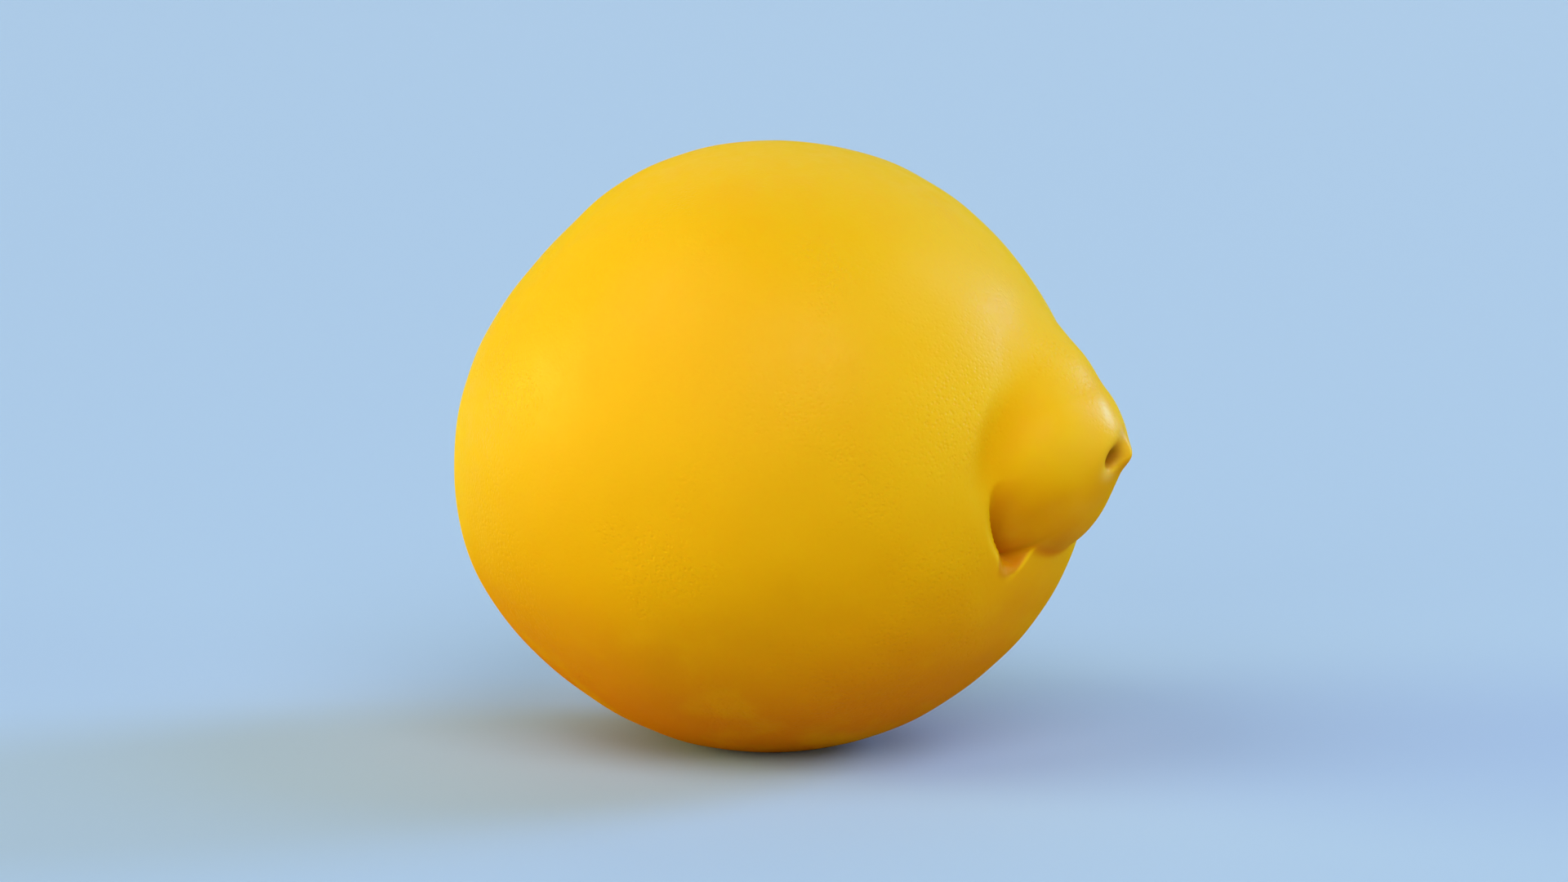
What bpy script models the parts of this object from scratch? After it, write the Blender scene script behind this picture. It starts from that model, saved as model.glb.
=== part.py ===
"""A fresh lemon, one solid in metres: a nearly round body with a blunt nipple at its
blossom end (+X), a fold around the nipple's base, the scar pit at the nipple's tip, a low
button at its stem end (-X) and the small flat spot it rests on (the origin)."""

import bmesh
import bpy
import numpy as np

# Body: half sizes from the body's centre, which lies straight above the rest spot.
HALF_WIDTH = 0.0307
HALF_HEIGHT = 0.0311
HALF_BLOSSOM = 0.0330
HALF_STEM = 0.0317
REST_HEIGHT = 0.0305

# Gentle swellings (+) and flats (-): azimuth, elevation and spread in degrees, height.
# Azimuth 0 is +X and azimuth 90 is +Y.
SWELLINGS = (
    (-156, 40, 24, -0.0015),
    (-156, -22, 22, 0.0010),
    (24, 32, 20, -0.0005),
    (24, -42, 16, -0.0003),
    (90, 20, 26, 0.0003),
    (100, -35, 24, -0.0005),
    (-60, 65, 22, -0.0003),
)

# Nipple: a rounded cone that ends at TIP and stands on BASE, measured from the body's centre.
# It swells to a belly near its base and has a full cheek on its -Y side. The first of a pair
# of values holds below the axis, the second above it.
BASE = (0.0280, 0.0, -0.0007)
TIP = (0.0387, -0.0016, 0.0023)
CONE_HALF_ANGLE = (53.0, 56.8)
TIP_ROUNDING = 0.0026
BELLY_RADIUS = (0.0090, 0.0109)
BELLY_SIDE = 0.0036
BELLY_SPREAD = 43.0
BELLY_ROUNDING = (0.0030, 0.0060)
CHEEK_AT = (0.0325, -0.0080, 0.0000)
CHEEK_SPREAD = 0.0070
CHEEK_HEIGHT = 0.0006
ROOT = 0.0200
AXIS_ENDS = (-1.0, 1.2)

# Fold around the nipple's base: a groove where the body's lip swells past the nipple, with
# a shallow bevel outside the lip.
# Around the nipple, 0 degrees is -Y, 90 is down, -90 is up.
FOLD_DEPTH = 0.0034
FOLD_STARTS = (-8.0, 34.0)
FOLD_ENDS = (40.0, 52.0)
FOLD_LIP_RADIUS = (0.0129, 0.0115)
FOLD_LIP_TURNS = (0.0, 34.0)
FOLD_LIP_WIDTH = 0.0016
BEVEL_DEPTH = 0.0012
BEVEL_WIDTH = 0.0022
BEVEL_OUT = 0.0012

# Valleys that carry the fold on around the nipple: middle and half width in degrees, share.
VALLEY_DEPTH = 0.0007
VALLEY_WIDTH = 0.0028
VALLEYS = (
    (-22.0, 50.0, 1.0),
    (180.0, 90.0, 0.5),
)

# How sharply the nipple meets the body: a crease below, a wide sweep above.
CREASE_STARTS = (-70.0, 20.0)
CREASE_ENDS = (120.0, 175.0)
BLEND_CREASE = 0.0006
BLEND_VALLEY = 0.0030
BLEND_ABOVE = 0.0072
BLEND_SPREAD = 38.0
BLEND_FADE = 0.0110
BLEND_LEAST = 0.00001

# Scar pit beside the tip, with one high lip, measured from the body's centre.
PIT = (0.0378, -0.0030, 0.0014)
PIT_OUT = (0.86, -0.50, 0.06)
PIT_UP = (0.18, 0.15, 0.97)
PIT_HALF = (0.00080, 0.00105)
PIT_DEPTH = 0.0014
PIT_SKEW = 0.30
SLIT_AT = (0.0005, 0.0018)
SLIT_HALF = (0.0008, 0.0014)
SLIT_DEPTH = 0.00012
PIT_LIP_AT = (0.0019, 0.0004)
PIT_LIP_HALF = (0.0009, 0.0013)
PIT_LIP_HEIGHT = 0.0007
PIT_FROM = 0.0300

# Stem end: a low shoulder, a furrowed dimple and the button left by the stalk.
SHOULDER_RADIUS = 0.0078
SHOULDER_HEIGHT = 0.0017
DIMPLE_RADIUS = 0.0046
DIMPLE_DEPTH = 0.0019
FURROWS = 9
FURROW_AT = 0.0060
FURROW_SPREAD = 0.0026
FURROW_DEPTH = 0.0003
BUTTON_RADIUS = 0.0031
BUTTON_EDGE = 0.0008
BUTTON_HEIGHT = 0.0012
BUTTON_LOBES = 5
BUTTON_LOBE_DEPTH = 0.10
STALK_SCAR_RADIUS = 0.0012
STALK_SCAR_DEPTH = 0.0005

# Mesh: segments around the long axis, rings along it, and how far the rings crowd
# towards the nipple and towards the stem end.
SEGMENTS = 72
RINGS = 60
CROWD_BLOSSOM = 0.40
CROWD_STEM = 0.25
OUTSIDE = 0.0460
STEP_IN = 0.0005
HALVINGS = 20
LEAST_SINE = 1e-9

PEEL_COLOR = (0.86, 0.55, 0.02, 1.0)
PEEL_ROUGHNESS = 0.42


def smooth(t):
    """Rises from 0 to 1 without corners."""
    t = np.clip(t, 0.0, 1.0)
    return t * t * (3.0 - 2.0 * t)


def ramp(x, ends):
    return smooth((x - ends[0]) / (ends[1] - ends[0]))


def bell(x):
    return np.exp(-x * x)


def between(ends, share):
    return ends[0] + (ends[1] - ends[0]) * share


def unit(v):
    v = np.asarray(v, dtype=float)
    return v / np.linalg.norm(v)


def blend_min(a, b, k):
    """The smaller of two fields, rounded over a distance of about k."""
    h = np.clip(0.5 + 0.5 * (b - a) / k, 0.0, 1.0)
    return b + (a - b) * h - k * h * (1.0 - h)


def blend_max(a, b, k):
    return -blend_min(-a, -b, k)


def body_radius(d):
    """Distance from the body's centre to the plain body along unit directions d."""
    half_length = np.where(d[:, 0] > 0.0, HALF_BLOSSOM, HALF_STEM)
    scaled = np.stack([d[:, 0] / half_length, d[:, 1] / HALF_WIDTH, d[:, 2] / HALF_HEIGHT])
    radius = 1.0 / np.linalg.norm(scaled, axis=0)
    for azimuth, elevation, spread, height in SWELLINGS:
        az, el = np.radians(azimuth), np.radians(elevation)
        towards = np.array([np.cos(el) * np.cos(az), np.cos(el) * np.sin(az), np.sin(el)])
        radius = radius + height * np.exp((d @ towards - 1.0) / (1.0 - np.cos(np.radians(spread))))
    return radius + stem_end(d, radius)


def stem_end(d, radius):
    """Height of the stem end's shoulder, dimple and button above the plain body."""
    out = np.hypot(d[:, 1], d[:, 2]) * radius
    turn = np.arctan2(d[:, 2], d[:, 1])
    height = SHOULDER_HEIGHT * bell(out / SHOULDER_RADIUS)
    height -= DIMPLE_DEPTH * bell(out / DIMPLE_RADIUS)
    height -= FURROW_DEPTH * bell((out - FURROW_AT) / FURROW_SPREAD) * np.cos(FURROWS * turn)
    edge = BUTTON_RADIUS * (1.0 + BUTTON_LOBE_DEPTH * np.cos(BUTTON_LOBES * turn))
    height += BUTTON_HEIGHT * smooth((edge - out) / BUTTON_EDGE + 0.5)
    height -= STALK_SCAR_DEPTH * bell(out / STALK_SCAR_RADIUS)
    return np.where(d[:, 0] < 0.0, height, 0.0)


def around_nipple(p):
    """Distance from the nipple's leaning axis, and the angle around it in degrees."""
    t = np.clip((p[:, 0] - BASE[0]) / (TIP[0] - BASE[0]), AXIS_ENDS[0], AXIS_ENDS[1])
    y = p[:, 1] - BASE[1] - (TIP[1] - BASE[1]) * t
    z = p[:, 2] - BASE[2] - (TIP[2] - BASE[2]) * t
    return np.hypot(y, z), np.degrees(np.arctan2(-z, -y))


def pit_depth(p):
    """Depth of the scar pit and its slit, less the height of its lip."""
    out = unit(PIT_OUT)
    up = unit(PIT_UP)
    up = unit(up - out * (up @ out))
    side = np.cross(up, out)
    a = (p - np.array(PIT)) @ side
    b = (p - np.array(PIT)) @ up
    hole = PIT_DEPTH * bell((a - PIT_SKEW * b) / PIT_HALF[0]) * bell(b / PIT_HALF[1])
    slit = SLIT_DEPTH * bell((a - SLIT_AT[0]) / SLIT_HALF[0]) * bell((b - SLIT_AT[1]) / SLIT_HALF[1])
    lip = bell((a - PIT_LIP_AT[0]) / PIT_LIP_HALF[0]) * bell((b - PIT_LIP_AT[1]) / PIT_LIP_HALF[1])
    return np.where(p[:, 0] > PIT_FROM, hole + slit - PIT_LIP_HEIGHT * lip, 0.0)


def share_above(turn):
    return 0.5 - 0.5 * np.sin(np.radians(turn))


def belly_radius(turn):
    return between(BELLY_RADIUS, share_above(turn)) + BELLY_SIDE * bell(turn / BELLY_SPREAD)


def fold_depth(rho, turn):
    """Depth of the fold, and of the valleys beside the nipple."""
    fold = ramp(turn, FOLD_STARTS) * (1.0 - ramp(turn, FOLD_ENDS))
    lip = np.interp(turn, FOLD_LIP_TURNS, FOLD_LIP_RADIUS)
    groove = FOLD_DEPTH * smooth((lip - rho) / FOLD_LIP_WIDTH + 0.5)
    groove = groove + BEVEL_DEPTH * smooth((lip + BEVEL_OUT - rho) / BEVEL_WIDTH + 0.5)
    valley = 0.0
    for middle, half, share in VALLEYS:
        off = (turn - middle + 180.0) % 360.0 - 180.0
        valley = valley + share * smooth(1.0 - np.abs(off) / half)
    hollow = VALLEY_DEPTH * valley * (1.0 - smooth((rho - belly_radius(turn)) / VALLEY_WIDTH))
    return np.maximum(groove * fold, hollow)


def body_field(p, rho, turn):
    distance = np.linalg.norm(p, axis=1)
    sunk = np.where(p[:, 0] > 0.0, fold_depth(rho, turn), 0.0)
    return distance - body_radius(p / distance[:, None]) + sunk


def nipple_field(p, rho, turn):
    above = share_above(turn)
    angle = np.radians(between(CONE_HALF_ANGLE, above))
    past_tip = p[:, 0] - TIP[0] - TIP_ROUNDING / np.tan(angle)
    cone = past_tip * np.sin(angle) + np.hypot(rho, TIP_ROUNDING) * np.cos(angle)
    from_cheek = np.linalg.norm(p - np.array(CHEEK_AT), axis=1)
    cone = cone - CHEEK_HEIGHT * bell(from_cheek / CHEEK_SPREAD)
    rounding = between(BELLY_ROUNDING, smooth(above + bell(turn / BELLY_SPREAD)))
    nipple = blend_max(cone + pit_depth(p), rho - belly_radius(turn), rounding)
    return np.maximum(nipple, ROOT - p[:, 0])


def field(p):
    """Negative inside the lemon, positive outside, near the distance to its skin."""
    rho, turn = around_nipple(p)
    crease = ramp(turn, CREASE_STARTS) * (1.0 - ramp(turn, CREASE_ENDS))
    sweep = between((BLEND_VALLEY, BLEND_ABOVE), bell((turn + 90.0) / BLEND_SPREAD))
    width = between((sweep, BLEND_CREASE), crease) * smooth(rho / BLEND_FADE) + BLEND_LEAST
    return blend_min(body_field(p, rho, turn), nipple_field(p, rho, turn), width)


def skin_points(d):
    """Points of the skin along unit directions d, from the body's centre."""
    outer = np.full(len(d), OUTSIDE)
    inner = outer - STEP_IN
    for _ in range(int(OUTSIDE / STEP_IN) - 2):
        open_air = field(d * inner[:, None]) > 0.0
        if not open_air.any():
            break
        outer = np.where(open_air, inner, outer)
        inner = np.where(open_air, inner - STEP_IN, inner)
    for _ in range(HALVINGS):
        middle = (inner + outer) / 2.0
        inside = field(d * middle[:, None]) < 0.0
        inner = np.where(inside, middle, inner)
        outer = np.where(inside, outer, middle)
    return d * inner[:, None]


def crowd(d):
    """Moves unit directions towards the two ends of the long axis."""
    angle = np.arccos(np.clip(d[:, 0], -1.0, 1.0))
    pull = CROWD_BLOSSOM * (1.0 + np.cos(angle)) / 2.0 - CROWD_STEM * (1.0 - np.cos(angle)) / 2.0
    moved = angle - pull * np.sin(angle)
    across = np.sin(moved) / np.maximum(np.sin(angle), LEAST_SINE)
    return np.stack([np.cos(moved), d[:, 1] * across, d[:, 2] * across], axis=1)


def build_lemon():
    bm = bmesh.new()
    bmesh.ops.create_uvsphere(bm, u_segments=SEGMENTS, v_segments=RINGS, radius=1.0)
    sphere = np.array([vert.co for vert in bm.verts])
    along_x = np.stack([sphere[:, 2], sphere[:, 0], sphere[:, 1]], axis=1)
    directions = crowd(along_x / np.linalg.norm(along_x, axis=1)[:, None])
    points = skin_points(directions)
    points[:, 2] = np.maximum(points[:, 2] + REST_HEIGHT, 0.0)
    for vert, point in zip(bm.verts, points):
        vert.co = point
    mesh = bpy.data.meshes.new("lemon")
    bm.to_mesh(mesh)
    bm.free()
    mesh.shade_smooth()
    return bpy.data.objects.new("lemon", mesh)


def peel_material():
    material = bpy.data.materials.new("peel")
    material.use_nodes = True
    shader = material.node_tree.nodes["Principled BSDF"]
    shader.inputs["Base Color"].default_value = PEEL_COLOR
    shader.inputs["Roughness"].default_value = PEEL_ROUGHNESS
    shader.inputs["Metallic"].default_value = 0.0
    return material


for old in list(bpy.data.objects):
    bpy.data.objects.remove(old, do_unlink=True)

lemon = build_lemon()
lemon.data.materials.append(peel_material())
bpy.context.scene.collection.objects.link(lemon)
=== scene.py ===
import bpy
import numpy as np
from mathutils import Matrix, Vector


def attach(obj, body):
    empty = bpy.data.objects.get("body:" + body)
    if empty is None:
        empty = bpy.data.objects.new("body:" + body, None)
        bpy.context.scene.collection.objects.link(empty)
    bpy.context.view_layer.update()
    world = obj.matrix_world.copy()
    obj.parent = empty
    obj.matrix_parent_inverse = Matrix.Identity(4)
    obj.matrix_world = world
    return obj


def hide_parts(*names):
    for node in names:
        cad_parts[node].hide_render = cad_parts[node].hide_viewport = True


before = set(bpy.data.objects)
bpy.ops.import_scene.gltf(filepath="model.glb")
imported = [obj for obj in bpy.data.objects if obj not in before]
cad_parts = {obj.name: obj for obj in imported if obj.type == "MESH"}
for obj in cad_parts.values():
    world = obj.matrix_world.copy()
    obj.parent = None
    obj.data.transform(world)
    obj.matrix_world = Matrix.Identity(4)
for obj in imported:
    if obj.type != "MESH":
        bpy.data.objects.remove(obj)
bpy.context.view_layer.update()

# ---------------------------------------------------------------- shape, in metres
# Body: half sizes from the body's centre, which lies straight above the rest spot.
HALF_WIDTH = 0.0307
HALF_HEIGHT = 0.0311
HALF_BLOSSOM = 0.0330
HALF_STEM = 0.0317
REST_HEIGHT = 0.0305

# Gentle swellings (+) and flats (-): azimuth, elevation and spread in degrees, height.
# Azimuth 0 is +X and azimuth 90 is +Y.
SWELLINGS = (
    (-156, 40, 24, -0.0015),
    (-156, -22, 22, 0.0010),
    (24, 32, 20, -0.0005),
    (24, -42, 16, -0.0003),
    (90, 20, 26, 0.0003),
    (100, -35, 24, -0.0005),
    (-60, 65, 22, -0.0003),
)

# Nipple: a rounded cone that ends at TIP and stands on BASE, measured from the body's centre.
# It swells to a belly near its base and has a full cheek on its -Y side. The first of a pair
# of values holds below the axis, the second above it.
BASE = (0.0280, 0.0, -0.0007)
TIP = (0.0387, -0.0016, 0.0023)
CONE_HALF_ANGLE = (53.0, 56.8)
TIP_ROUNDING = 0.0026
BELLY_RADIUS = (0.0090, 0.0109)
BELLY_SIDE = 0.0036
BELLY_SPREAD = 43.0
BELLY_ROUNDING = (0.0030, 0.0060)
CHEEK_AT = (0.0325, -0.0080, 0.0000)
CHEEK_SPREAD = 0.0070
CHEEK_HEIGHT = 0.0006
ROOT = 0.0200
AXIS_ENDS = (-1.0, 1.2)

# Fold around the nipple's base: a groove where the body's lip swells past the nipple, with
# a shallow bevel outside the lip.
# Around the nipple, 0 degrees is -Y, 90 is down, -90 is up.
FOLD_DEPTH = 0.0034
FOLD_STARTS = (-8.0, 34.0)
FOLD_ENDS = (40.0, 52.0)
FOLD_LIP_RADIUS = (0.0129, 0.0115)
FOLD_LIP_TURNS = (0.0, 34.0)
FOLD_LIP_WIDTH = 0.0016
BEVEL_DEPTH = 0.0012
BEVEL_WIDTH = 0.0022
BEVEL_OUT = 0.0012

# Valleys that carry the fold on around the nipple: middle and half width in degrees, share.
VALLEY_DEPTH = 0.0007
VALLEY_WIDTH = 0.0028
VALLEYS = (
    (-22.0, 50.0, 1.0),
    (180.0, 90.0, 0.5),
)

# How sharply the nipple meets the body: a crease below, a wide sweep above.
CREASE_STARTS = (-70.0, 20.0)
CREASE_ENDS = (120.0, 175.0)
BLEND_CREASE = 0.0006
BLEND_VALLEY = 0.0030
BLEND_ABOVE = 0.0072
BLEND_SPREAD = 38.0
BLEND_FADE = 0.0110
BLEND_LEAST = 0.00001

# Scar pit beside the tip, with one high lip, measured from the body's centre.
PIT = (0.0378, -0.0030, 0.0014)
PIT_OUT = (0.86, -0.50, 0.06)
PIT_UP = (0.18, 0.15, 0.97)
PIT_HALF = (0.00080, 0.00105)
PIT_DEPTH = 0.0014
PIT_SKEW = 0.30
SLIT_AT = (0.0005, 0.0018)
SLIT_HALF = (0.0008, 0.0014)
SLIT_DEPTH = 0.00012
PIT_LIP_AT = (0.0019, 0.0004)
PIT_LIP_HALF = (0.0009, 0.0013)
PIT_LIP_HEIGHT = 0.0007
PIT_FROM = 0.0300

# Stem end: a low shoulder, a furrowed dimple and the button left by the stalk.
SHOULDER_RADIUS = 0.0078
SHOULDER_HEIGHT = 0.0017
DIMPLE_RADIUS = 0.0046
DIMPLE_DEPTH = 0.0019
FURROWS = 9
FURROW_AT = 0.0060
FURROW_SPREAD = 0.0026
FURROW_DEPTH = 0.0003
BUTTON_RADIUS = 0.0031
BUTTON_EDGE = 0.0008
BUTTON_HEIGHT = 0.0012
BUTTON_LOBES = 5
BUTTON_LOBE_DEPTH = 0.10
STALK_SCAR_RADIUS = 0.0012
STALK_SCAR_DEPTH = 0.0005

# Fine mesh: cells along each edge of a cube's face, crowded towards the two ends and the pit.
CELLS = 129
WELD_DIGITS = 6
CROWD_BLOSSOM = 0.55
CROWD_STEM = 0.20
CROWD_PIT = 0.60
CROWD_PIT_SPREAD = 0.10
LEAST_SINE = 1e-9

# Search for the skin: inwards from OUTSIDE in steps that end STEPS_LEFT short of the centre,
# then by halving the last step.
OUTSIDE = 0.0460
STEP_IN = 0.0005
STEPS_LEFT = 2
HALVINGS = 22

# Slow swells that the hand feels on the peel: wave length, number of waves, height. They die
# down near the pit and the button.
SWELL_SEED = 7
SWELL_WAVES = ((0.0300, 10, 0.00010), (0.0130, 16, 0.00005), (0.0060, 24, 0.00002))
CALM_PIT = 0.0040
CALM_STEM = 0.0060

# Painted shade in the fold: how far it spreads over the nipple and from the crease, its share
# on the bank outside the crease, and how it gathers and widens at the fold's lower end.
SEAM_SPREAD = 0.0028
CREASE_SPREAD = 0.0006
FOLD_BANK_SHADE = 0.35
FOLD_END_TURNS = (28.0, 42.0)
FOLD_END_SHADE = 4.0
FOLD_END_OUT = 0.0007

# Other marks on the skin: the nipple's edge, the places where the pores stand out (centre from
# the body's centre, spread, strength), and the spots beside the pit (centre and half sizes in
# the pit's own plane, strength): brown scar spots, a painted highlight above the pit and a pale
# mark below it.
NIPPLE_EDGE = 0.0010
FAR_FROM_STEM = 0.1
ROUGH_PATCHES = (
    ((0.0279, -0.0084, 0.0142), 0.0070, 0.25),
    ((0.0265, -0.0176, 0.0050), 0.0065, 1.00),
    ((0.0102, -0.0281, 0.0080), 0.0090, 0.40),
)
SCAR_SPOTS = (
    ((0.0, 0.0), (0.0014, 0.0019), 1.0),
    ((0.0002, 0.0024), (0.0007, 0.0013), 0.7),
)
PALE_AND_HIGHLIGHT_SPOTS = (
    ((-0.0013, 0.0043), (0.0006, 0.0010), 0.55),
    ((-0.0002, -0.0019), (0.0009, 0.0005), 0.12),
)


def smooth(t):
    """Rises from 0 to 1 without corners."""
    t = np.clip(t, 0.0, 1.0)
    return t * t * (3.0 - 2.0 * t)


def ramp(x, ends):
    return smooth((x - ends[0]) / (ends[1] - ends[0]))


def bell(x):
    return np.exp(-x * x)


def between(ends, share):
    return ends[0] + (ends[1] - ends[0]) * share


def unit(v):
    v = np.asarray(v, dtype=float)
    return v / np.linalg.norm(v)


def blend_min(a, b, k):
    """The smaller of two fields, rounded over a distance of about k."""
    h = np.clip(0.5 + 0.5 * (b - a) / k, 0.0, 1.0)
    return b + (a - b) * h - k * h * (1.0 - h)


def blend_max(a, b, k):
    return -blend_min(-a, -b, k)


def body_radius(d):
    """Distance from the body's centre to the plain body along unit directions d."""
    half_length = np.where(d[:, 0] > 0.0, HALF_BLOSSOM, HALF_STEM)
    scaled = np.stack([d[:, 0] / half_length, d[:, 1] / HALF_WIDTH, d[:, 2] / HALF_HEIGHT])
    radius = 1.0 / np.linalg.norm(scaled, axis=0)
    for azimuth, elevation, spread, height in SWELLINGS:
        az, el = np.radians(azimuth), np.radians(elevation)
        towards = np.array([np.cos(el) * np.cos(az), np.cos(el) * np.sin(az), np.sin(el)])
        radius = radius + height * np.exp((d @ towards - 1.0) / (1.0 - np.cos(np.radians(spread))))
    return radius + stem_end(d, radius)


def stem_end(d, radius):
    """Height of the stem end's shoulder, dimple and button above the plain body."""
    out = np.hypot(d[:, 1], d[:, 2]) * radius
    turn = np.arctan2(d[:, 2], d[:, 1])
    height = SHOULDER_HEIGHT * bell(out / SHOULDER_RADIUS)
    height -= DIMPLE_DEPTH * bell(out / DIMPLE_RADIUS)
    height -= FURROW_DEPTH * bell((out - FURROW_AT) / FURROW_SPREAD) * np.cos(FURROWS * turn)
    edge = BUTTON_RADIUS * (1.0 + BUTTON_LOBE_DEPTH * np.cos(BUTTON_LOBES * turn))
    height += BUTTON_HEIGHT * smooth((edge - out) / BUTTON_EDGE + 0.5)
    height -= STALK_SCAR_DEPTH * bell(out / STALK_SCAR_RADIUS)
    return np.where(d[:, 0] < 0.0, height, 0.0)


def around_nipple(p):
    """Distance from the nipple's leaning axis, and the angle around it in degrees."""
    t = np.clip((p[:, 0] - BASE[0]) / (TIP[0] - BASE[0]), AXIS_ENDS[0], AXIS_ENDS[1])
    y = p[:, 1] - BASE[1] - (TIP[1] - BASE[1]) * t
    z = p[:, 2] - BASE[2] - (TIP[2] - BASE[2]) * t
    return np.hypot(y, z), np.degrees(np.arctan2(-z, -y))


def pit_plane(p):
    """Places across and along the scar pit, in its own plane."""
    out = unit(PIT_OUT)
    up = unit(PIT_UP)
    up = unit(up - out * (up @ out))
    return (p - np.array(PIT)) @ np.cross(up, out), (p - np.array(PIT)) @ up


def pit_depth(p):
    """Depth of the scar pit and its slit, less the height of its lip."""
    a, b = pit_plane(p)
    hole = PIT_DEPTH * bell((a - PIT_SKEW * b) / PIT_HALF[0]) * bell(b / PIT_HALF[1])
    slit = bell((a - SLIT_AT[0]) / SLIT_HALF[0]) * bell((b - SLIT_AT[1]) / SLIT_HALF[1])
    lip = bell((a - PIT_LIP_AT[0]) / PIT_LIP_HALF[0]) * bell((b - PIT_LIP_AT[1]) / PIT_LIP_HALF[1])
    return np.where(p[:, 0] > PIT_FROM, hole + SLIT_DEPTH * slit - PIT_LIP_HEIGHT * lip, 0.0)


def share_above(turn):
    return 0.5 - 0.5 * np.sin(np.radians(turn))


def belly_radius(turn):
    return between(BELLY_RADIUS, share_above(turn)) + BELLY_SIDE * bell(turn / BELLY_SPREAD)


def fold_depth(rho, turn):
    """Depth of the fold, and of the valleys beside the nipple."""
    fold = ramp(turn, FOLD_STARTS) * (1.0 - ramp(turn, FOLD_ENDS))
    lip = np.interp(turn, FOLD_LIP_TURNS, FOLD_LIP_RADIUS)
    groove = FOLD_DEPTH * smooth((lip - rho) / FOLD_LIP_WIDTH + 0.5)
    groove = groove + BEVEL_DEPTH * smooth((lip + BEVEL_OUT - rho) / BEVEL_WIDTH + 0.5)
    valley = 0.0
    for middle, half, share in VALLEYS:
        off = (turn - middle + 180.0) % 360.0 - 180.0
        valley = valley + share * smooth(1.0 - np.abs(off) / half)
    hollow = VALLEY_DEPTH * valley * (1.0 - smooth((rho - belly_radius(turn)) / VALLEY_WIDTH))
    return np.maximum(groove * fold, hollow)


def body_field(p, rho, turn):
    distance = np.linalg.norm(p, axis=1)
    sunk = np.where(p[:, 0] > 0.0, fold_depth(rho, turn), 0.0)
    return distance - body_radius(p / distance[:, None]) + sunk


def nipple_field(p, rho, turn):
    above = share_above(turn)
    angle = np.radians(between(CONE_HALF_ANGLE, above))
    past_tip = p[:, 0] - TIP[0] - TIP_ROUNDING / np.tan(angle)
    cone = past_tip * np.sin(angle) + np.hypot(rho, TIP_ROUNDING) * np.cos(angle)
    from_cheek = np.linalg.norm(p - np.array(CHEEK_AT), axis=1)
    cone = cone - CHEEK_HEIGHT * bell(from_cheek / CHEEK_SPREAD)
    rounding = between(BELLY_ROUNDING, smooth(above + bell(turn / BELLY_SPREAD)))
    nipple = blend_max(cone + pit_depth(p), rho - belly_radius(turn), rounding)
    return np.maximum(nipple, ROOT - p[:, 0])


def field(p):
    """Negative inside the lemon, positive outside, near the distance to its skin."""
    rho, turn = around_nipple(p)
    crease = ramp(turn, CREASE_STARTS) * (1.0 - ramp(turn, CREASE_ENDS))
    sweep = between((BLEND_VALLEY, BLEND_ABOVE), bell((turn + 90.0) / BLEND_SPREAD))
    width = between((sweep, BLEND_CREASE), crease) * smooth(rho / BLEND_FADE) + BLEND_LEAST
    return blend_min(body_field(p, rho, turn), nipple_field(p, rho, turn), width)


def skin_points(d):
    """Points of the skin along unit directions d, from the body's centre."""
    outer = np.full(len(d), OUTSIDE)
    inner = outer - STEP_IN
    for _ in range(int(OUTSIDE / STEP_IN) - STEPS_LEFT):
        open_air = field(d * inner[:, None]) > 0.0
        if not open_air.any():
            break
        outer = np.where(open_air, inner, outer)
        inner = np.where(open_air, inner - STEP_IN, inner)
    for _ in range(HALVINGS):
        middle = (inner + outer) / 2.0
        inside = field(d * middle[:, None]) < 0.0
        inner = np.where(inside, middle, inner)
        outer = np.where(inside, outer, middle)
    return d * inner[:, None]


def crowd(d):
    """Moves unit directions towards the two ends of the long axis."""
    angle = np.arccos(np.clip(d[:, 0], -1.0, 1.0))
    pull = CROWD_BLOSSOM * (1.0 + np.cos(angle)) / 2.0 - CROWD_STEM * (1.0 - np.cos(angle)) / 2.0
    moved = angle - pull * np.sin(angle)
    across = np.sin(moved) / np.maximum(np.sin(angle), LEAST_SINE)
    d = np.stack([np.cos(moved), d[:, 1] * across, d[:, 2] * across], axis=1)

    pit = unit(PIT)
    angle = np.arccos(np.clip(d @ pit, -1.0, 1.0))
    moved = angle * (1.0 - CROWD_PIT * bell(angle / CROWD_PIT_SPREAD))
    aside = d - pit * (d @ pit)[:, None]
    aside /= np.maximum(np.linalg.norm(aside, axis=1), LEAST_SINE)[:, None]
    return pit * np.cos(moved)[:, None] + aside * np.sin(moved)[:, None]


def quad_sphere(n):
    """Unit directions and four-sided faces of a cube blown up to a sphere."""
    t = np.tan(np.linspace(-np.pi / 4, np.pi / 4, n + 1))
    u, v = np.meshgrid(t, t, indexing="ij")
    one = np.ones_like(u)
    sides = [(one, u, v), (-one, v, u), (v, one, u), (u, -one, v), (u, v, one), (v, u, -one)]
    corner = np.arange(n)[:, None] * (n + 1) + np.arange(n)[None, :]
    points = []
    quads = []
    for k, side in enumerate(sides):
        points.append(np.stack([c.ravel() for c in side], axis=1))
        a = corner + k * (n + 1) ** 2
        quads.append(np.stack([a, a + n + 1, a + n + 2, a + 1], axis=-1).reshape(-1, 4))
    points = np.concatenate(points)
    points /= np.linalg.norm(points, axis=1)[:, None]
    rounded = np.round(points, WELD_DIGITS)
    _, first, merged = np.unique(rounded, axis=0, return_index=True, return_inverse=True)
    return points[first], merged.reshape(-1)[np.concatenate(quads)]


def swells(p):
    """Slow, uneven swelling of the peel: sums of waves in seeded directions."""
    rng = np.random.RandomState(SWELL_SEED)
    total = np.zeros(len(p))
    for length, count, height in SWELL_WAVES:
        for _ in range(count):
            way = rng.normal(size=3)
            way *= 2.0 * np.pi / length / np.linalg.norm(way)
            total += height / np.sqrt(count) * np.sin(p @ way + rng.uniform(0.0, 2.0 * np.pi))
    return total


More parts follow.
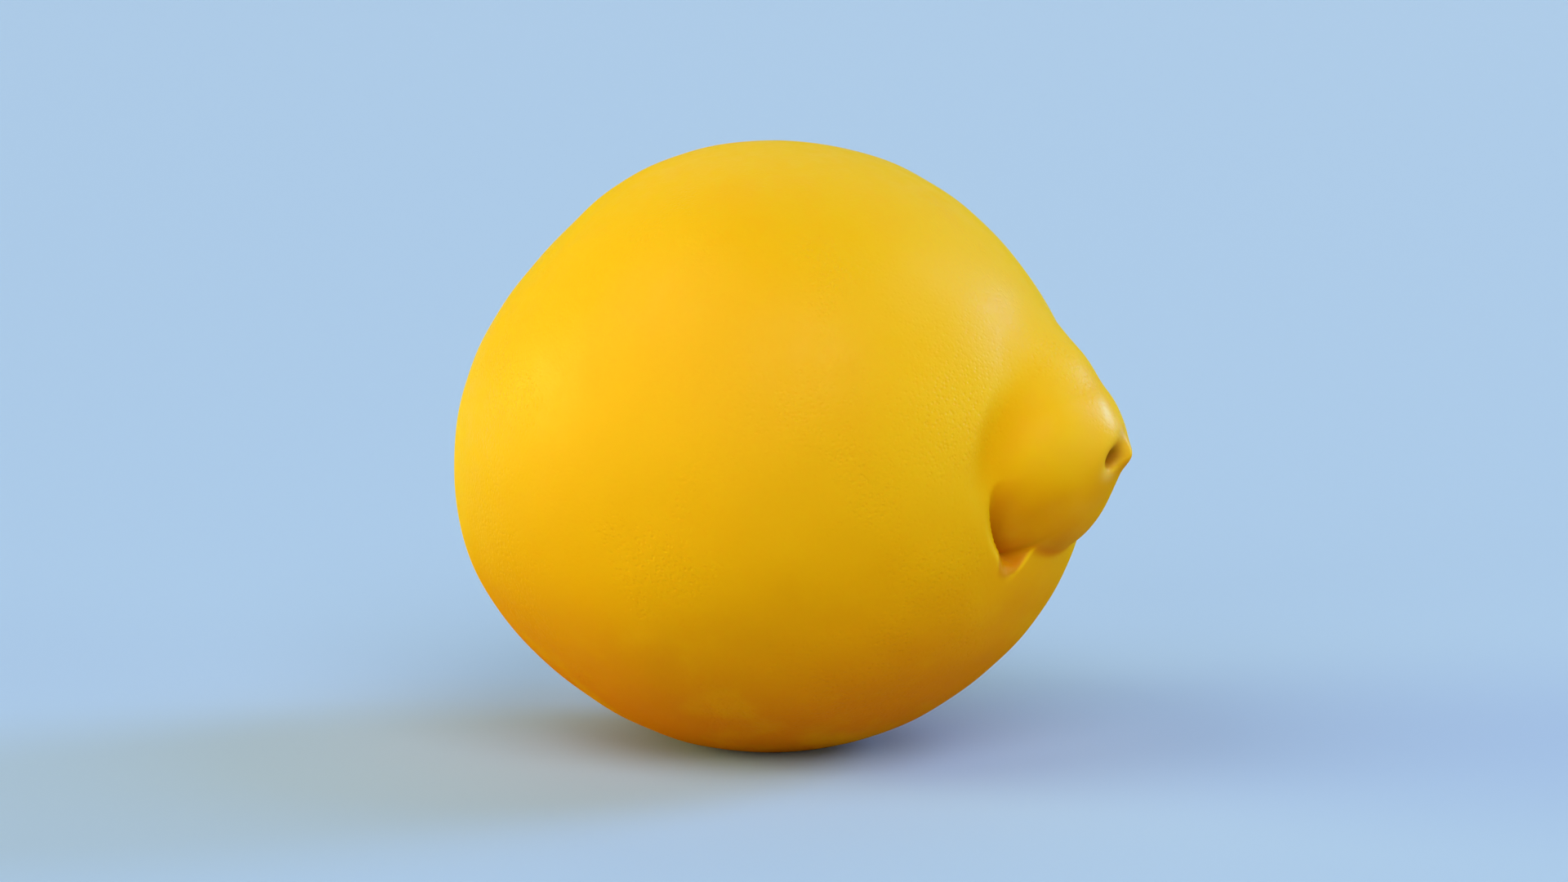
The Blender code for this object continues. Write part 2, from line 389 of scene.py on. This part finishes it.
def spots(x, y, places):
    """Soft oval spots: where, half sizes, strength."""
    total = np.zeros(len(x))
    for at, half, strength in places:
        total += strength * bell((x - at[0]) / half[0]) * bell((y - at[1]) / half[1])
    return total


def skin_marks(p):
    """Values that tell the peel's material where it is on the fruit."""
    rho, turn = around_nipple(p)
    depth = fold_depth(rho, turn)
    body = body_field(p, rho, turn)
    nipple = nipple_field(p, rho, turn)
    on_body = nipple > body
    seam = np.where(on_body, 1.0, bell((body - nipple) / SEAM_SPREAD)) * (p[:, 0] > ROOT)
    # Painted shade in the fold spreads from the seam, is weaker on the bank outside the crease and
    # gathers at the fold's lower end.
    at_end = ramp(turn, FOLD_END_TURNS) * on_body
    full = np.maximum(at_end, 1.0 - ramp(turn, FOLD_STARTS))
    full = np.maximum(full, bell((nipple - body) / CREASE_SPREAD))
    bank = np.where(on_body, between((FOLD_BANK_SHADE, 1.0), full), 1.0)
    shaded = fold_depth(rho - FOLD_END_OUT * at_end, turn) * (1.0 + FOLD_END_SHADE * at_end)

    a, b = pit_plane(p)
    near_tip = p[:, 0] > PIT_FROM
    rough = np.zeros(len(p))
    for at, spread, strength in ROUGH_PATCHES:
        rough += strength * bell(np.linalg.norm(p - np.array(at), axis=1) / spread)
    return {
        # fold and hollow say where painted shade goes; hollow also dulls the wax.
        "fold": np.minimum(shaded / FOLD_DEPTH, 1.0) * seam * bank,
        "hollow": np.minimum(depth / VALLEY_DEPTH, 1.0) * seam,
        "nipple": smooth((body - nipple) / NIPPLE_EDGE),
        "pit": near_tip * bell((a - PIT_SKEW * b) / PIT_HALF[0]) * bell(b / PIT_HALF[1]),
        "scar": near_tip * spots(a - PIT_SKEW * b, b, SCAR_SPOTS),
        "pale_and_highlight": near_tip * spots(a, b, PALE_AND_HIGHLIGHT_SPOTS),
        "stem": np.where(p[:, 0] < 0.0, np.hypot(p[:, 1], p[:, 2]), FAR_FROM_STEM),
        "rough": np.minimum(rough, 1.0),
    }


def lemon_mesh():
    directions, quads = quad_sphere(CELLS)
    points = skin_points(crowd(directions))

    marks = skin_marks(points)
    normals = vertex_normals(points, quads)
    from_pit = np.linalg.norm(points - np.array(PIT), axis=1)
    calm = smooth(from_pit / CALM_PIT) * smooth(marks["stem"] / CALM_STEM)
    points = points + normals * (swells(points) * calm)[:, None]
    points[:, 2] = np.maximum(points[:, 2] + REST_HEIGHT, 0.0)

    mesh = bpy.data.meshes.new("lemon_skin")
    mesh.from_pydata(points.tolist(), [], quads.tolist())
    mesh.update()
    mesh.shade_smooth()
    for name, values in marks.items():
        layer = mesh.attributes.new(name, "FLOAT", "POINT")
        layer.data.foreach_set("value", values.astype(np.float32))
    return mesh


def vertex_normals(points, quads):
    a, b, c, d = (points[quads[:, k]] for k in range(4))
    face = np.cross(c - a, d - b)
    total = np.zeros_like(points)
    for k in range(4):
        np.add.at(total, quads[:, k], face)
    return total / np.linalg.norm(total, axis=1)[:, None]


# ---------------------------------------------------------------- materials


class Nodes:
    """Short calls for building a node material."""

    def __init__(self, material):
        material.use_nodes = True
        self.tree = material.node_tree
        self.shader = self.tree.nodes["Principled BSDF"]

    def add(self, kind, **settings):
        node = self.tree.nodes.new("ShaderNode" + kind)
        for name, value in settings.items():
            setattr(node, name, value)
        return node

    def join(self, value, socket):
        if isinstance(value, bpy.types.NodeSocket):
            self.tree.links.new(value, socket)
        else:
            socket.default_value = value

    def math(self, operation, a, b=0.0, c=0.0):
        node = self.add("Math", operation=operation)
        for value, socket in zip((a, b, c), node.inputs):
            self.join(value, socket)
        return node.outputs[0]

    def span(self, value, ends, to=(0.0, 1.0)):
        """Runs smoothly from to[0] to to[1] while value runs between the ends."""
        node = self.add("MapRange", interpolation_type="SMOOTHSTEP")
        for item, socket in zip((value, *ends, *to), node.inputs):
            self.join(item, socket)
        return node.outputs[0]

    def noise(self, where, scale, detail):
        node = self.add("TexNoise")
        self.join(where, node.inputs["Vector"])
        node.inputs["Scale"].default_value = scale
        node.inputs["Detail"].default_value = detail
        return node.outputs["Fac"]

    def cells(self, where, scale):
        node = self.add("TexVoronoi")
        self.join(where, node.inputs["Vector"])
        node.inputs["Scale"].default_value = scale
        return node.outputs["Distance"]

    def mix(self, share, a, b):
        node = self.add("Mix", data_type="RGBA")
        self.join(share, node.inputs["Factor"])
        colours = [s for s in node.inputs if s.type == "RGBA"]
        self.join(a, colours[0])
        self.join(b, colours[1])
        return [s for s in node.outputs if s.type == "RGBA"][0]

    def mark(self, name):
        return self.add("Attribute", attribute_name=name).outputs["Fac"]


# Peel colours, with amber for painted shade, and those of its brown, pale and dry places; the pale
# colour also paints a highlight.
LEMON = (0.84, 0.48, 0.003, 1.0)
GOLDEN = (0.87, 0.48, 0.002, 1.0)
SHADE_AMBER = (0.73, 0.165, 0.001, 1.0)
WARM = (0.86, 0.40, 0.002, 1.0)
FOLD_SHADE_AMBER = (0.64, 0.215, 0.001, 1.0)
ROSY = (0.85, 0.36, 0.02, 1.0)
SCAR_BROWN = (0.60, 0.30, 0.02, 1.0)
PIT_BROWN_AND_SHADE = (0.50, 0.20, 0.004, 1.0)
PALE_AND_HIGHLIGHT = (0.92, 0.80, 0.42, 1.0)
STALK_GREEN = (0.34, 0.30, 0.06, 1.0)
BUTTON_BROWN = (0.23, 0.15, 0.06, 1.0)

MM_PER_METRE = 1000.0

# Noises in the peel: waves in each millimetre, detail.
SHADE_BAND_NOISE = (0.035, 2.0)
PATCH_NOISE = (0.07, 2.0)
BLUSH_NOISE = (0.12, 3.0)
ROSY_NOISE = (0.16, 3.0)
WAX_NOISE = (0.5, 3.0)
STEM_NOISE = (0.9, 3.0)
GRAIN_NOISE = (2.3, 2.0)
NOISE_MIDDLE = 0.5

# Bands of colour that paint shade on the underside: how unevenly they run, and the upward slants
# between which each one rises.
SHADE_BAND_UNEVEN = 0.35
SHADE_TO_GOLDEN_RISE = (-0.90, 0.22)
LEMON_RISE = (0.35, 1.0)

# Painted shade: a warmer, darker orange patch on the -Y side that faces the camera (centre and
# reach in millimetres); and blushes, which are random warm tone.
FRONT_SHADE_AT = (2.0, -30.0, 34.0)
FRONT_SHADE_REACH = (8.0, 34.0)
FRONT_SHADE_SHARE = 0.6
BLUSH_EDGE = (0.50, 0.75)
BLUSH_SHARE = 0.30

# Colour on the nipple, which takes less of the underside's painted shade; painted shade in the
# valleys and the fold; colour around the pit, with painted shade in the pit and a painted
# highlight above it.
NIPPLE_SHARE = 0.15
ROSY_EDGE = (0.45, 0.70)
ROSY_SHARE = 0.20
HOLLOW_SHADE_SHARE = 0.12
FOLD_SHADE_EDGE = (0.05, 0.55)
FOLD_SHADE_SHARE = 0.85
SCAR_SHARE = 0.7
PALE_AND_HIGHLIGHT_SHARE = 0.8
PIT_EDGE = (0.15, 0.65)

# Colour at the stem end: distances from the long axis.
STEM_UNEVEN = 0.0012
STALK_REACH = (0.0036, 0.0075)
STALK_SHARE = 0.5
BUTTON_REACH = (0.0032, 0.0042)

# Oil pores and grain: they stand out in patches and are calmer on the nipple.
PORES_PER_MM = 2.2
PORE_EDGE = (0.08, 0.50)
PORE_SHARE = 0.5
PATCH_EDGE = (0.45, 0.70)
NIPPLE_CALM_EDGE = (0.2, 0.8)
NIPPLE_CALM = 0.45
RELIEF_LEAST = 0.18
RELIEF_STRENGTH = 0.6
RELIEF_HEIGHT = 0.00013

# Wax: roughness and gloss by upward slant, and how both change in the fold and at the edges.
WAX_EDGE = (0.3, 0.7)
WAX_UNEVEN = 0.05
ROUGH_SLANT = (-0.45, 0.50)
ROUGH_ENDS = (0.70, 0.42)
HOLLOW_ROUGH = 0.20
GLOSS_SLANT = (-0.35, 0.50)
GLOSS_ENDS = (0.03, 0.30)
GLOSS_USUAL = 0.20
EDGE_FACING = (0.45, 0.90)
EDGE_GLOSS = 0.10
HOLLOW_GLOSS = 0.25
PEEL_IOR = 1.45
PEEL_SPECULAR_TINT = (1.0, 0.86, 0.50, 1.0)

# Light that sinks into the peel.
SUNK_SHARE = 0.40
SUNK_COLOUR = (1.0, 0.40, 0.05)
SUNK_DEPTH = 0.0016

FLOOR_COLOUR = (0.42, 0.57, 0.82, 1.0)
FLOOR_ROUGHNESS = 0.8


def peel_colour(n, mm, upward):
    """Lemon yellow on top, golden at the sides and amber below, as painted shade; painted shade on
    the front, in the valleys and in the fold; brown scar colour in the pit, darkened as painted
    shade; a painted highlight above the pit.
    """
    # Painted shade: the colour runs by upward slant from amber on the underside through golden to
    # lemon on top.
    uneven = n.math("SUBTRACT", n.noise(mm, *SHADE_BAND_NOISE), NOISE_MIDDLE)
    shade_band = n.math("MULTIPLY_ADD", uneven, SHADE_BAND_UNEVEN, upward)
    colour = n.mix(n.span(shade_band, SHADE_TO_GOLDEN_RISE), SHADE_AMBER, GOLDEN)
    colour = n.mix(n.span(shade_band, LEMON_RISE), colour, LEMON)
    # Painted shade on the front that faces the camera.
    front_shade = n.add("VectorMath", operation="DISTANCE")
    n.join(mm, front_shade.inputs[0])
    n.join(FRONT_SHADE_AT, front_shade.inputs[1])
    colour = n.mix(n.span(front_shade.outputs["Value"], FRONT_SHADE_REACH, (FRONT_SHADE_SHARE, 0.0)), colour, WARM)
    blush = n.span(n.noise(mm, *BLUSH_NOISE), BLUSH_EDGE, (0.0, BLUSH_SHARE))
    colour = n.mix(blush, colour, WARM)

    nipple = n.mark("nipple")
    rosy = n.span(n.noise(mm, *ROSY_NOISE), ROSY_EDGE, (0.0, ROSY_SHARE))
    # The nipple takes less of the underside's painted shade.
    colour = n.mix(n.math("MULTIPLY", nipple, NIPPLE_SHARE), colour, GOLDEN)
    colour = n.mix(n.math("MULTIPLY", nipple, rosy), colour, ROSY)
    # Painted shade in the valleys beside the nipple.
    colour = n.mix(n.math("MULTIPLY", n.mark("hollow"), HOLLOW_SHADE_SHARE), colour, SHADE_AMBER)
    # Painted shade in the fold.
    colour = n.mix(n.span(n.mark("fold"), FOLD_SHADE_EDGE, (0.0, FOLD_SHADE_SHARE)), colour, FOLD_SHADE_AMBER)
    colour = n.mix(n.math("MULTIPLY", n.mark("scar"), SCAR_SHARE), colour, SCAR_BROWN)
    # Pale spots beside the pit: the one above it is a painted highlight, the one below a pale
    # mark.
    colour = n.mix(n.math("MULTIPLY", n.mark("pale_and_highlight"), PALE_AND_HIGHLIGHT_SHARE), colour, PALE_AND_HIGHLIGHT)
    # The pit's brown scar, darkened further as painted shade for the depth of the hole.
    colour = n.mix(n.span(n.mark("pit"), PIT_EDGE), colour, PIT_BROWN_AND_SHADE)

    stem = n.math("MULTIPLY_ADD", n.noise(mm, *STEM_NOISE), STEM_UNEVEN, n.mark("stem"))
    colour = n.mix(n.span(stem, STALK_REACH, (STALK_SHARE, 0.0)), colour, STALK_GREEN)
    return n.mix(n.span(stem, BUTTON_REACH, (1.0, 0.0)), colour, BUTTON_BROWN)


def peel_relief(n, mm):
    """Oil pores: shallow pits with raised peel between them, stronger in patches."""
    pore = n.span(n.cells(mm, PORES_PER_MM), PORE_EDGE, (1.0, 0.0))
    grain = n.noise(mm, *GRAIN_NOISE)
    patches = n.math("MAXIMUM", n.mark("rough"), n.span(n.noise(mm, *PATCH_NOISE), PATCH_EDGE))
    calm = n.span(n.mark("nipple"), NIPPLE_CALM_EDGE, (1.0, NIPPLE_CALM))
    depth = n.math("MULTIPLY", n.span(patches, (0.0, 1.0), (RELIEF_LEAST, 1.0)), calm)
    return n.math("MULTIPLY", n.math("MULTIPLY_ADD", pore, -PORE_SHARE, grain), depth)


def peel_material():
    material = bpy.data.materials.new("lemon_peel")
    n = Nodes(material)
    place = n.add("TexCoord").outputs["Object"]
    scaled = n.add("VectorMath", operation="SCALE")
    n.join(place, scaled.inputs[0])
    scaled.inputs["Scale"].default_value = MM_PER_METRE
    mm = scaled.outputs["Vector"]
    axes = n.add("SeparateXYZ")
    n.join(n.add("TexCoord").outputs["Normal"], axes.inputs[0])
    upward = axes.outputs["Z"]

    bump = n.add("Bump")
    bump.inputs["Strength"].default_value = RELIEF_STRENGTH
    bump.inputs["Distance"].default_value = RELIEF_HEIGHT
    n.join(peel_relief(n, mm), bump.inputs["Height"])

    # Waxy on top, duller towards the underside and in the fold.
    rough = n.span(n.noise(mm, *WAX_NOISE), WAX_EDGE, (-WAX_UNEVEN, WAX_UNEVEN))
    rough = n.math("ADD", rough, n.span(upward, ROUGH_SLANT, ROUGH_ENDS))
    rough = n.math("MULTIPLY_ADD", n.mark("hollow"), HOLLOW_ROUGH, rough)
    facing = n.add("LayerWeight").outputs["Facing"]
    gloss = n.span(upward, GLOSS_SLANT, GLOSS_ENDS)
    gloss = n.math("MULTIPLY", gloss, n.span(facing, EDGE_FACING, (1.0, EDGE_GLOSS)))
    dulled = n.span(n.mark("hollow"), (0.0, 1.0), (1.0, HOLLOW_GLOSS))
    gloss = n.math("MULTIPLY", gloss, dulled)

    sockets = n.shader.inputs
    n.join(peel_colour(n, mm, upward), sockets["Base Color"])
    n.join(bump.outputs["Normal"], sockets["Normal"])
    n.join(rough, sockets["Roughness"])
    sockets["IOR"].default_value = PEEL_IOR
    sockets["Specular IOR Level"].default_value = GLOSS_USUAL
    n.join(gloss, sockets["Specular IOR Level"])
    sockets["Specular Tint"].default_value = PEEL_SPECULAR_TINT
    sockets["Subsurface Weight"].default_value = SUNK_SHARE
    sockets["Subsurface Radius"].default_value = SUNK_COLOUR
    sockets["Subsurface Scale"].default_value = SUNK_DEPTH
    return material


def floor_material():
    material = bpy.data.materials.new("studio_floor")
    n = Nodes(material)
    n.shader.inputs["Base Color"].default_value = FLOOR_COLOUR
    n.shader.inputs["Roughness"].default_value = FLOOR_ROUGHNESS
    return material


# ---------------------------------------------------------------- camera, light, floor
# Camera: where it stands around the lemon, how far off, and how far right and up of the
# body's centre it aims.
VIEW_AZIMUTH = 24.0
VIEW_ELEVATION = 8.0
VIEW_DISTANCE = 0.3768
AIM = (0.00166, 0.00042)
LENS = 85.0
SENSOR = 36.0
CLIP = (0.01, 100.0)

# Wide soft lights: name, azimuth and elevation they come from, angle across, strength, colour.
LIGHTS = (
    ("left", -66.0, 6.0, 40.0, 2.84, (0.94, 1.0, 0.30)),
    ("front", -6.0, 14.0, 40.0, 0.61, (1.0, 1.0, 0.80)),
    ("upper_left", -40.0, 50.0, 40.0, 0.70, (1.0, 1.0, 0.90)),
    ("upper_right", 38.0, 42.0, 40.0, 1.20, (1.0, 1.0, 1.0)),
    ("low_right", 92.0, 6.0, 30.0, 0.85, (0.92, 1.0, 0.50)),
    ("rim", 136.0, 22.0, 22.0, 1.60, (0.35, 0.60, 1.0)),
    ("sheen", 122.0, 48.0, 22.0, 0.45, (0.35, 0.60, 1.0)),
    ("back", -170.0, 35.0, 60.0, 0.42, (1.0, 0.90, 0.55)),
)
WORLD_COLOUR = (0.80, 0.90, 1.0, 1.0)
WORLD_STRENGTH = 0.17

FLOOR_HALF = 20.0


def looking(azimuth, elevation):
    """Unit vectors right, up and back of a camera or light that points at the lemon."""
    az, el = np.radians(azimuth), np.radians(elevation)
    back = Vector((np.sin(az) * np.cos(el), -np.cos(az) * np.cos(el), np.sin(el)))
    right = Vector((np.cos(az), np.sin(az), 0.0))
    return right, back.cross(right), back


def add_camera():
    right, up, back = looking(VIEW_AZIMUTH, VIEW_ELEVATION)
    camera = bpy.data.objects.new("camera", bpy.data.cameras.new("camera"))
    camera.data.lens = LENS
    camera.data.sensor_width = SENSOR
    camera.data.clip_start, camera.data.clip_end = CLIP
    target = Vector((0.0, 0.0, REST_HEIGHT)) + right * AIM[0] + up * AIM[1]
    turn = Matrix((right, up, back)).transposed()
    camera.matrix_world = Matrix.Translation(target + back * VIEW_DISTANCE) @ turn.to_4x4()
    bpy.context.scene.collection.objects.link(camera)
    bpy.context.scene.camera = camera


def add_lights():
    for name, azimuth, elevation, across, strength, colour in LIGHTS:
        right, up, back = looking(azimuth, elevation)
        data = bpy.data.lights.new(name, "SUN")
        data.angle = np.radians(across)
        data.energy = strength
        data.color = colour
        light = bpy.data.objects.new(name, data)
        light.matrix_world = Matrix((right, up, back)).transposed().to_4x4()
        bpy.context.scene.collection.objects.link(light)
    world = bpy.data.worlds.new("studio")
    world.use_nodes = True
    background = world.node_tree.nodes["Background"]
    background.inputs["Color"].default_value = WORLD_COLOUR
    background.inputs["Strength"].default_value = WORLD_STRENGTH
    bpy.context.scene.world = world
    bpy.context.scene.view_settings.view_transform = "Standard"


def add_floor():
    h = FLOOR_HALF
    mesh = bpy.data.meshes.new("floor")
    mesh.from_pydata([(-h, -h, 0.0), (h, -h, 0.0), (h, h, 0.0), (-h, h, 0.0)], [], [(0, 1, 2, 3)])
    mesh.materials.append(floor_material())
    floor = bpy.data.objects.new("floor", mesh)
    bpy.context.scene.collection.objects.link(floor)


# ---------------------------------------------------------------- the lemon

add_camera()
add_lights()
add_floor()

skin = bpy.data.objects.new("lemon_skin", lemon_mesh())
skin.data.materials.append(peel_material())
bpy.context.scene.collection.objects.link(skin)
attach(skin, "root")
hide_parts("lemon")
